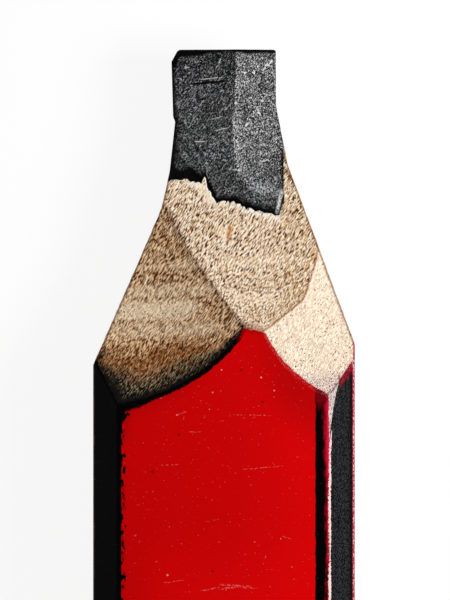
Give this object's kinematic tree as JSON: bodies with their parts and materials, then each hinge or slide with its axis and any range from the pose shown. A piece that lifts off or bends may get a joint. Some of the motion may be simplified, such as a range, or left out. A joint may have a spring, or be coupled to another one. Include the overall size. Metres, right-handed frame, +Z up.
{
  "type": "pencil stub",
  "caption": "Stub of a flat carpenter's pencil: bevelled red and black lacquered wood, whittled with a knife to a blunt, flat graphite lead.",
  "frame": {"origin": "middle of the back face's footprint on the surface that the stub lies on", "axes": "+Y along the pencil toward the lead's tip, +X to the right seen from above, +Z up out of the front face"},
  "size_m": [0.014, 0.055, 0.0072],
  "materials": {
    "wood": "bare whittled softwood, dry and grainy",
    "graphite": "rubbed graphite, dull metallic sheen",
    "red_lacquer": "glossy red pencil lacquer, scratched",
    "black_lacquer": "black stripe lacquer on the bevels, worn at its edges"
  },
  "bodies": {
    "root": {"front_slat": "wood", "back_slat": "wood", "lead": "graphite"}
  },
  "joints": []
}
